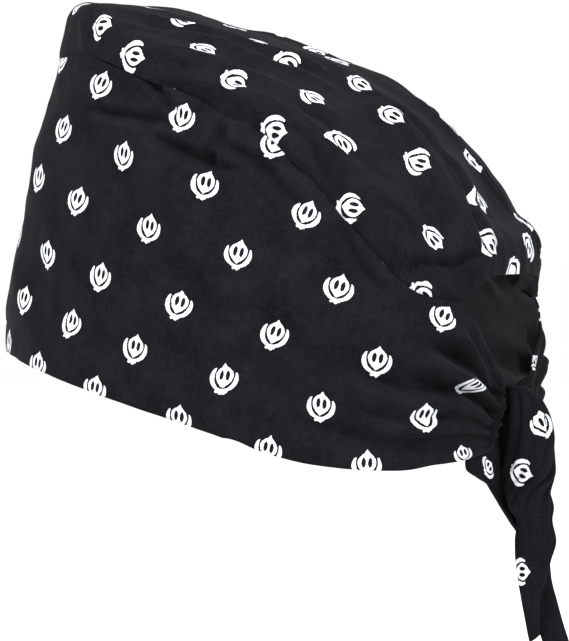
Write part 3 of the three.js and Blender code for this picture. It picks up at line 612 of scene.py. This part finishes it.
band_angles = even_columns(BAND_COLUMNS, end_angle, band_middle, 0.35)
band_ups = np.linspace(0, 1, BAND_ROWS)
band_ups = band_ups + 0.3 * band_ups * (1 - band_ups)  # closer towards the seam and its fine creases
band_bare = band_surface(band_angles[:, None], band_ups[None, :])
band_normal = normals_of(band_bare)
band_field = fold_field(band_bare, band_normal, BAND_FOLDS, band_surface, end_angle)
band_share = np.abs(band_angles[:, None]) / end_angle
gathers = ease((band_share - GATHERS_FROM) / GATHERS_OVER)
pleat_turns = 8.3 * band_ups[None, :] ** 1.15 + 0.35 * np.sin(13 * band_share)
pleat = np.abs(np.sin(np.pi * pleat_turns)) - 0.6
band_field = band_field + GATHERS_DEEP * gathers * pleat
tuck_from = angle_behind(TUCK_START) / end_angle
band_field = band_field - TUCK_DEPTH * ease((band_share - tuck_from) / (1 - tuck_from))
band_field = band_field * (1 - 0.5 * (band_angles[:, None] < 0) * ease((band_share - 0.8) / 0.1))
band_field = band_field + creases(band_bare, 1, *COARSE_CREASES) + creases(band_bare, 2, *FINE_CREASES)
# The hem is turned up and stitched, and the seam at the top pulls the cloth into a puckered groove.
HEM_DEEP, STITCH_DEEP = 11, 0.35
SEAM_ROLL, SEAM_REACH, SEAM_PUCKER = 1.1, 2.6, 0.35


def seam_groove(angles, distance):
    """How deep the seam's pucker lies. It is shallow at the brow and full from the temples back."""
    pucker = SEAM_PUCKER * np.sin(angles * 2.1 + 2 * np.sin(angles * 0.37))
    strength = 0.35 + 0.65 * ease((np.abs(angles) - 60) / 40)
    return strength * (SEAM_ROLL + pucker) * np.exp(-((distance / SEAM_REACH) ** 2))


from_hem = band_bare[..., 2] - hem_height(band_angles)[:, None]
plain_hem = 1 - ease((band_share - 0.75) / 0.1)
band_field = band_field - STITCH_DEEP * plain_hem * np.exp(-(((from_hem - HEM_DEEP) / 0.9) ** 2))
from_seam = np.linalg.norm(band_bare - band_bare[:, -1:], axis=-1)
on_seam = np.abs(band_angles[:, None]) < gap_angle
band_field = band_field - on_seam * seam_groove(band_angles[:, None], from_seam)
band_outer = band_bare + band_normal * band_field[..., None]
band_normal = normals_of(band_outer)
band_inner = band_outer - band_normal * CLOTH

# The print's place on the band. Its rows follow the hem; towards the brow the cloth is eased a little, and
# towards the knot the rows close up as the band is gathered.
RUNS = [-12, 36, 70, 103, 141, 184, 270, 345]  # lengths round the band from the brow
PRINT_RUNS = [-43.3, 0, 43.3, 86.6, 129.9, 173.2, 259.8, 335]  # the same places in the flat cloth
GATHER_RUNS = [190, 228, 250, 271, 300, 330]
GATHERED = [1, 0.9, 0.81, 0.58, 0.42, 0.4]  # the band's height there, as a share of its flat height
HEM_MARGIN = 3.6  # from the hem's edge up to where rises are counted from
RISES = [-15, -1.8, 19.5, 42, 67, 90.5, 113, 140]
PRINT_RISES = [-13.5, 0, 23, 46, 69, 92, 115, 142]
FAR_PRINT = (13.6, 3)  # the far side's print lies this much further round and up
LAST_PRINT = 270  # past this the seen side's print is lost in the gathers

band_line = band_surface(band_angles, np.full(BAND_COLUMNS, 0.35))
band_run = np.concatenate([[0], np.cumsum(np.linalg.norm(np.diff(band_line, axis=0), axis=1))])
band_run = (band_run - np.interp(0, band_angles, band_run))[:, None]
band_side = np.sign(band_run)
gathered = through(GATHER_RUNS, GATHERED, np.abs(band_run))
band_rise = (band_bare[..., 2] - hem_height(band_angles)[:, None] - HEM_MARGIN) / gathered
# High up, the columns lean forward over the ears and back over the brow, and not at the middle line.
lean = np.clip((np.abs(band_run) - 80) / 50, -0.5, 1) * 0.27 * np.maximum(band_rise - 50, 0)
lean = lean * ease(np.abs(band_run) / 14)
at_brow = through(RUNS, PRINT_RUNS, 0)
band_up = through(RISES, PRINT_RISES, band_rise) - 4.5 * ease(1 - np.abs(band_run) / 80)
band_across = at_brow + band_side * (through(RUNS, PRINT_RUNS, np.abs(band_run) - lean) - at_brow)
far_shift = FAR_PRINT * ease(-band_run / 150)[..., None]
band_uv = np.stack([np.broadcast_to(band_across, band_rise.shape), band_up], -1) + far_shift
band_pull = pull(band_bare, band_uv)
squeezed = ease((gathered - 0.62) / 0.28)  # the gathers squeeze the emblems too
band_pull[..., 1] = 1 + (band_pull[..., 1] - 1) * squeezed
side_band = cloth_mesh("side_band_cloth", band_outer, band_inner, band_uv, band_pull, LAST_PRINT)
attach(side_band, "root")
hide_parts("side_band")

# The crown is an oval panel of the same cotton over the top, eased into the band along one seam. Its back
# edge is turned in as a casing, stitched above its cord, and left free over the gap.
CROWN_TOP = 157
OVER_GAP = [0, 0.41, 0.84, 1, 1]  # how the crown's free edge rises over the gap, at GAP_INWARD
CROWN_COLUMNS, CROWN_ROWS = 420, 92
RIDGE_PLACES = [-0.9, -0.66, -0.46, -0.16, 0.17, 0.42, 0.59, 0.75, 0.91, 1.01]
RIDGE_HEIGHTS = [0.985, 1, 0.994, 0.943, 0.87, 0.812, 0.73, 0.617, 0.505, 0.44]
INWARD = [0, 0.02, 0.05, 0.09, 0.15, 0.25, 0.4, 0.6, 0.8, 1]
# How the crown climbs to its ridge from the edge inward, towards each side of the head.
CLIMBS = {
    "brow": [0, 0.36, 0.76, 0.93, 0.985, 1, 1, 1, 1, 1],
    "temple": [0, 0.27, 0.47, 0.56, 0.61, 0.69, 0.82, 0.935, 0.99, 1],
    "flank": [0, 0.33, 0.44, 0.53, 0.62, 0.735, 0.86, 0.95, 0.992, 1],
    "nape": [0, 0.36, 0.62, 0.82, 0.95, 1, 1, 1, 1, 1],
}
SIDE_ANGLES = [0, 35, 62, 88, 112, 140, 162]
SIDES = {
    "brow": [1, 1, 0, 0, 0, 0, 0],
    "temple": [0, 0, 1, 1, 0, 0, 0],
    "flank": [0, 0, 0, 0, 1, 1, 0],
    "nape": [0, 0, 0, 0, 0, 0, 1],
}
NAPE_PUFF, PUFF_REACH = 3.4, 0.075


def ridge_height(y):
    return CROWN_TOP * through(RIDGE_PLACES, RIDGE_HEIGHTS, y / (WIDEST_AT + TOP_BACK_REACH))


def crown_surface(angle, inward):
    """The crown's bare form, from its edge in to the middle of the top."""
    angle, inward = np.broadcast_arrays(np.asarray(angle, float), np.asarray(inward, float))
    angle = (angle + 180) % 360 - 180
    x0, y0 = top_plan(angle)
    arch = gap_edge(angle, OVER_GAP, GAP_TOP, 0)
    z0 = np.where(np.abs(angle) > gap_angle, arch, seam_height(angle))
    x, y = x0 * (1 - inward), y0 * (1 - inward)
    rise = sum(
        through(SIDE_ANGLES, SIDES[side], np.abs(angle)) * through(INWARD, CLIMBS[side], inward)
        for side in CLIMBS
    )
    z = z0 + (ridge_height(y) - z0) * rise
    puff = NAPE_PUFF * through(SIDE_ANGLES, SIDES["nape"], np.abs(angle))
    swell = puff * np.sin(np.pi * np.clip(inward / PUFF_REACH, 0, 1))
    out = np.stack([x0 / TOP_HALF_WIDTH, y0 / TOP_BACK_REACH], -1)
    out /= np.linalg.norm(out, axis=-1, keepdims=True)
    return np.stack([x + out[..., 0] * swell, y + out[..., 1] * swell, z], -1)


# The crown's folds, in the same terms as the band's, with places as (share round from the brow, share in).
CROWN_FOLDS = [
    ((0.865, 0.44), (0.945, 0.35), (0.947, 0.22), 2.0, 2.2, 2.2, 0.9, 3.4),
    ((0.947, 0.25), (0.962, 0.16), (0.935, 0.075), 2.4, 2.0, 1.8, 0.9, 3.0),
    ((0.95, 0.1), (0.93, 0.055), (0.905, 0.015), 2.0, 2, 1.8, 0.8, 1.6),
    ((0.69, 0.0), (0.8, 0.02), (0.94, 0.024), 3.2, 1.6, 1.4, 1.0, 0),
    ((0.5, 0.06), (0.545, 0.026), (0.58, 0.0), 2.2, 3.4, 3, 1.0, 0),
    ((0.24, 0.08), (0.488, 0.5), (0.82, 0.56), 1.4, 3.4, 3.4, 2.2, 0),
    ((0.36, 0.01), (0.463, 0.048), (0.52, 0.1), 1.6, 3, 3, 1.6, 0),
    ((0.215, 0.09), (0.26, 0.046), (0.29, 0.0), 1.2, 2.8, 2.8, 1.0, 0),
    ((0.48, 0.03), (0.54, 0.131), (0.62, 0.15), 2.0, 4, 4, 1.2, 0),
]
CASING_DEEP = 11  # from the crown's free edge up to the stitching over its cord
CROWN_COARSE, CROWN_FINE = (30, 1.6), (10, 0.6)
CASING_REACH, CASING_RUFFLE = 6, 0.3


def crown_edge(angle):
    return crown_surface(angle, np.zeros_like(angle))


crown_angles = even_columns(CROWN_COLUMNS + 1, 180, crown_edge)[:-1]
crown_ins = np.linspace(0, 1, CROWN_ROWS) ** 1.5 * 0.985
crown_bare = crown_surface(crown_angles[:, None], crown_ins[None, :])
crown_normal = normals_of(crown_bare, True)
calm = ease((0.96 - crown_ins[None, :]) / 0.3)  # no folds at the very middle, where the columns meet
crown_field = calm * fold_field(crown_bare, crown_normal, CROWN_FOLDS, crown_surface, 180)
uneven = creases(crown_bare, 3, *CROWN_COARSE) + creases(crown_bare, 4, *CROWN_FINE)
crown_field = crown_field + calm * uneven
from_edge = np.linalg.norm(crown_bare - crown_bare[:, :1], axis=-1)
free = np.abs(crown_angles[:, None]) > gap_angle
crown_field = crown_field - ~free * seam_groove(crown_angles[:, None], from_edge)
ruffle = np.sin(crown_angles[:, None] * 1.9 + 1.5 * np.sin(crown_angles[:, None] * 0.8))
ruffle = CASING_RUFFLE * ruffle * np.exp(-(((from_edge - 5) / CASING_REACH) ** 2))
stitched = STITCH_DEEP * np.exp(-(((from_edge - CASING_DEEP) / 0.8) ** 2))
crown_field = crown_field + free * (ruffle - stitched)
crown_outer = crown_bare + crown_normal * crown_field[..., None]
lap = ~free * np.exp(-((from_edge / 1.2) ** 2))  # the edge goes under the band's at the seam
crown_outer = crown_outer - crown_normal * 0.5 * lap[..., None] - np.array([0, 0, 1.0]) * lap[..., None]
crown_normal = normals_of(crown_outer, True)
crown_inner = crown_outer - crown_normal * CLOTH

# The print's columns on the crown run from brow to nape, a little aslant, and spread out towards the seam.
SPREADS = [0, 20, 33, 57, 71.5, 86, 130]  # lengths down from the middle line
PRINT_SPREADS = [-20, 0, 21.65, 43.3, 65, 86.6, 150]  # the same places in the flat cloth
ALONGS = [-40, 0, 68.5, 112, 133, 150, 168, 200]  # lengths from the brow back over the top
PRINT_ALONGS = [-40, 0, 68.5, 110.5, 130.5, 147.5, 168, 206]
ALONG_START, ASLANT = 81, 0.2
ROUNDED = 1.3  # how softly the way out from the middle line turns into the way down

middle_line = np.linspace(-120, 130, 1001)
middle_steps = np.hypot(np.diff(middle_line), np.diff(ridge_height(middle_line)))
middle_run = np.concatenate([[0], np.cumsum(middle_steps)])
crown_x, crown_y, crown_z = np.moveaxis(crown_bare, -1, 0)
crown_out = np.abs(crown_x)
crown_fall = np.maximum(ridge_height(crown_y) - crown_z, 0)
at_nape = ease((crown_y - 89) / 14) * (1 - ease(crown_out / 40))
side_fall = crown_fall * (1 - at_nape) * ease(crown_out / 10)
crown_down = (crown_out**ROUNDED + side_fall**ROUNDED) ** (1 / ROUNDED)
# Towards the nape the cloth is drawn askew, most over the middle, and less beside the seam.
askew = ease((crown_y - 50) / 30) * (13 + 18 * (1 - np.clip(crown_x / 45, 0, 1)))
askew = askew + 7 * at_nape - 16.5 * ease((crown_down - 68) / 22) * ease((crown_y - 35) / 30)
beside_seam = 17 * ease((crown_down - 65) / 15) * ease((crown_y - 40) / 40)
at_middle = PRINT_SPREADS[0]
crown_across = through(SPREADS, PRINT_SPREADS, crown_down) - at_middle
crown_across = at_middle + np.sign(crown_x) * crown_across + askew
crown_along = np.interp(crown_y, middle_line, middle_run) + 1.25 * at_nape * crown_fall
crown_along = crown_along + ASLANT * crown_across - ALONG_START
crown_up = through(ALONGS, PRINT_ALONGS, crown_along) + beside_seam
crown_uv = np.stack([crown_across, crown_up], -1)
crown_pull = pull(crown_bare, crown_uv, True)
crown = cloth_mesh(
    "crown_cloth", crown_outer, crown_inner, crown_uv, crown_pull, math.inf, wrapped=True
)
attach(crown, "root")
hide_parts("crown")

# The ties are the band's two ends, of the same cotton, folded lengthways and knotted once at the nape. The
# right one wraps over the left one and hangs in front of it. They are given by sections down their length.
KNOT_REACH = 110  # how far behind the opening's centre the knot is
TIE_SIDES, TIE_SECTIONS = 96, 150
ROLL_TIE = dict(
    top=5, bottom=-93, slant=-1.7,
    share=[0, 0.05, 0.13, 0.21, 0.3, 0.35, 0.4, 0.47, 0.53, 0.61, 0.69, 0.765, 0.825, 0.89, 1],
    x=[-2, -1, -0.4, -0.2, 0, 0, 0.5, 1, 1.5, 2, 2, 2, 2, 2, 2],
    y=[-5, -2.5, -0.4, 0.8, 1, 1.2, 0.8, 2.2, 4, 4.6, 3.6, 3.2, 2.6, 3, 4.4],
    wide=[15, 20, 20.6, 20.4, 19, 18, 17, 17.4, 13.6, 15.8, 13.6, 11.2, 8, 6.4, 4.2],
    thick=[9, 14, 17.5, 18.4, 18.4, 18.4, 16.6, 13, 9, 6, 5, 4.4, 4, 3.6, 2.6],
    turn=[-30, -32, -33, -30, -20, 0, 30, 60, 68, 72, 66, 60, 64, 68, 70],
)
UNDER_TIE = dict(
    top=4, bottom=-116, slant=0,
    share=[
        0, 0.067, 0.14, 0.17, 0.235, 0.25, 0.283, 0.31, 0.367,
        0.425, 0.48, 0.54, 0.617, 0.69, 0.767, 0.817, 0.908, 1,
    ],
    x=[1, 1, 4, 9, 10, 10, 6, 2.5, 0, -1.4, -4.8, -6, -6, -6, -6, -6, -6, -6],
    y=[
        -11.2, -11.2, -11.4, -11.6, -11.6, -11.6, -11.4, -11.2, -8.9,
        -4.6, -0.4, 1.6, 2.6, 5, 8, 10.2, 13, 15,
    ],
    wide=[15, 19, 24, 30, 32, 31, 23, 16, 10.4, 8.4, 8.6, 11, 11, 11, 10.6, 10.4, 10.2, 10],
    thick=[2, 2.6, 3.4, 4, 4.2, 4.4, 4.2, 3.8, 3.2, 4, 4.4, 4, 4, 3.8, 3.6, 3.4, 3, 2.6],
    turn=[-20, -20, 0, 14, 14, 14, 10, 4, 6, 16, 50, 66, 66, 66, 66, 66, 66, 66],
)
# Where the print's emblems fall on each tie: how far across from the middle of the seen side and down from
# the top in mm, how far turned in degrees, and how many times lower than true the folds leave it.
ROLL_PINS = [(-2.6, 14.6, 15, 1), (-10.2, 33.8, -107, 1.15), (-0.2, 73.5, -90, 1.6)]
UNDER_PINS = [(7.3, 33, -50, 1.9)]
TIE_SQUEEZE = 1.05  # the ties' folds take up this much of the print all over
PIN_REACH = 12  # farther than this from every pin the tie is plain


def tie_print(faces, points, place, pins):
    """The print's place at each corner of a tie's faces: an emblem at each pin, plain cloth elsewhere."""
    pins = np.array(pins, float)
    middle = np.array([place[face].mean(0) for face in faces])
    nearest = np.argmin(np.linalg.norm(middle[:, None] - pins[None, :, :2], axis=2), axis=1)
    blank = (ACROSS / 4000, DROP / 2000)  # between emblems
    laid = []
    for face, at, pin in zip(faces, middle, pins[nearest]):
        if np.linalg.norm(at - pin[:2]) > PIN_REACH:
            laid.append(np.full((len(face), 2), 1.0) * blank)
            continue
        spot = np.argmin(np.linalg.norm(place - pin[:2], axis=1))
        side = points[spot + 2] - points[spot - 2]
        side = side / np.linalg.norm(side)
        up = np.array([0, 0, 1]) - side[2] * side
        off = (points[face] - points[spot]) @ np.stack([side, up / np.linalg.norm(up)], -1)
        c, s = math.cos(math.radians(pin[2])), math.sin(math.radians(pin[2]))
        sizes = (TIE_SQUEEZE, TIE_SQUEEZE * pin[3])
        laid.append(off @ np.array([[c, -s], [s, c]]) * sizes / 1000)
    return np.concatenate(laid)


def tie_mesh(name, tie, pleats, seed, pins):
    """A tie as a folded, twisted strip: rounded sections down its length, with pleats along it."""
    share = np.linspace(0, 1, TIE_SECTIONS)[:, None]
    x, y, wide, thick, turn = (
        through(tie["share"], tie[k], share) for k in ("x", "y", "wide", "thick", "turn")
    )
    turn = np.radians(turn)
    t = np.linspace(0, 2 * np.pi, TIE_SIDES, endpoint=False)[None, :] + 1.25 * np.pi
    ridge = np.abs(np.sin(pleats * (t + 0.9 * np.sin(2.3 * share + seed)) / 2)) ** 0.7 - 0.55
    grow = ease(share / 0.04) * ease((1 - share) / 0.04) * (1 - 0.5 * ease((share - 0.3) / 0.3))
    long = wide / 2 * np.sign(np.cos(t)) * np.abs(np.cos(t)) ** 0.85 * (1 + 0.16 * ridge * grow)
    short = thick / 2 * np.sin(t) * (1 + 0.34 * ridge * grow)
    cut_aslant = tie["slant"] * np.cos(t) * ease((share - 0.9) / 0.1)
    grid = np.stack(
        [
            x + long * np.cos(turn) + short * np.sin(turn),
            KNOT_REACH + y - long * np.sin(turn) + short * np.cos(turn),
            tie["top"] + (tie["bottom"] - tie["top"]) * share + cut_aslant,
        ],
        -1,
    )
    points = grid.reshape(-1, 3)
    n, k = np.arange(TIE_SECTIONS - 1)[:, None] * TIE_SIDES, np.arange(TIE_SIDES)[None, :]
    a, b = n + k, n + (k + 1) % TIE_SIDES
    faces = list(np.stack([a, a + TIE_SIDES, b + TIE_SIDES, b], -1).reshape(-1, 4))
    faces.append(np.arange(TIE_SIDES))
    faces.append(np.arange(len(points) - TIE_SIDES, len(points))[::-1])
    mesh = bpy.data.meshes.new(name)
    mesh.from_pydata((points / 1000).tolist(), [], [face.tolist() for face in faces])
    run = np.concatenate([[0], np.cumsum(np.linalg.norm(np.diff(grid.mean(1), axis=0), axis=1))])
    steps = np.linalg.norm(np.diff(grid, axis=1, prepend=grid[:, :1]), axis=2)
    around = np.cumsum(steps, axis=1)
    around = around - around[:, TIE_SIDES // 2, None]
    place = np.stack([around, np.broadcast_to(run[:, None], around.shape)], -1).reshape(-1, 2)
    layer = mesh.uv_layers.new(name="cloth")
    layer.data.foreach_set("uv", (place[np.concatenate(faces)] / 1000).astype(np.float32).ravel())
    layer = mesh.uv_layers.new(name="print")
    layer.data.foreach_set("uv", tie_print(faces, points, place, pins).astype(np.float32).ravel())
    mesh.polygons.foreach_set("use_smooth", np.ones(len(mesh.polygons), bool))
    piece = bpy.data.objects.new(name, mesh)
    bpy.context.scene.collection.objects.link(piece)
    piece.data.materials.append(printed_face)
    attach(piece, "root")
    return piece


right_tie = tie_mesh("right_tie_cloth", ROLL_TIE, 9, 0.4, ROLL_PINS)
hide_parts("right_tie")
left_tie = tie_mesh("left_tie_cloth", UNDER_TIE, 5, 1.9, UNDER_PINS)
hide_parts("left_tie")

# The studio: a pale matt floor with white all round, and large soft lights high at the seen side and behind
# the knot, so that black cloth shows its folds without a hard highlight.
FLOOR_HALF, FLOOR_DOWN, LIGHTS_OFF = 4, 0.16, 1.4
floor_mesh = bpy.data.meshes.new("studio_floor")
floor_corners = [(x * FLOOR_HALF, y * FLOOR_HALF, 0) for x, y in ((-1, -1), (1, -1), (1, 1), (-1, 1))]
floor_mesh.from_pydata(floor_corners, [], [(0, 1, 2, 3)])
studio_floor = bpy.data.objects.new("studio_floor", floor_mesh)
studio_floor.location.z = -FLOOR_DOWN
bpy.context.scene.collection.objects.link(studio_floor)
paper = bpy.data.materials.new("white_paper")
paper.use_nodes = True
paper.node_tree.nodes["Principled BSDF"].inputs["Base Color"].default_value = (0.95, 0.95, 0.95, 1)
paper.node_tree.nodes["Principled BSDF"].inputs["Roughness"].default_value = 0.9
floor_mesh.materials.append(paper)

world = bpy.data.worlds.new("studio")
world.use_nodes = True
world.node_tree.nodes["Background"].inputs["Color"].default_value = (1, 1, 1, 1)
world.node_tree.nodes["Background"].inputs["Strength"].default_value = 1.0
bpy.context.scene.world = world


def soft_light(name, azimuth, rise, size, power):
    """A round light, facing the cloth from the given azimuth and rise in degrees."""
    lamp = bpy.data.lights.new(name, "AREA")
    lamp.shape, lamp.size, lamp.energy = "DISK", size, power
    a, e = math.radians(azimuth), math.radians(rise)
    place = Vector((math.sin(a) * math.cos(e), -math.cos(a) * math.cos(e), math.sin(e))) * LIGHTS_OFF
    made = bpy.data.objects.new(name, lamp)
    made.location = place
    made.rotation_mode = "QUATERNION"
    made.rotation_quaternion = place.to_track_quat("Z", "Y")
    bpy.context.scene.collection.objects.link(made)


soft_light("key_light", 78, 52, 0.6, 41)
soft_light("back_light", 155, 30, 0.9, 22)

bpy.context.scene.view_settings.view_transform = "Standard"
bpy.context.scene.view_settings.look = "None"
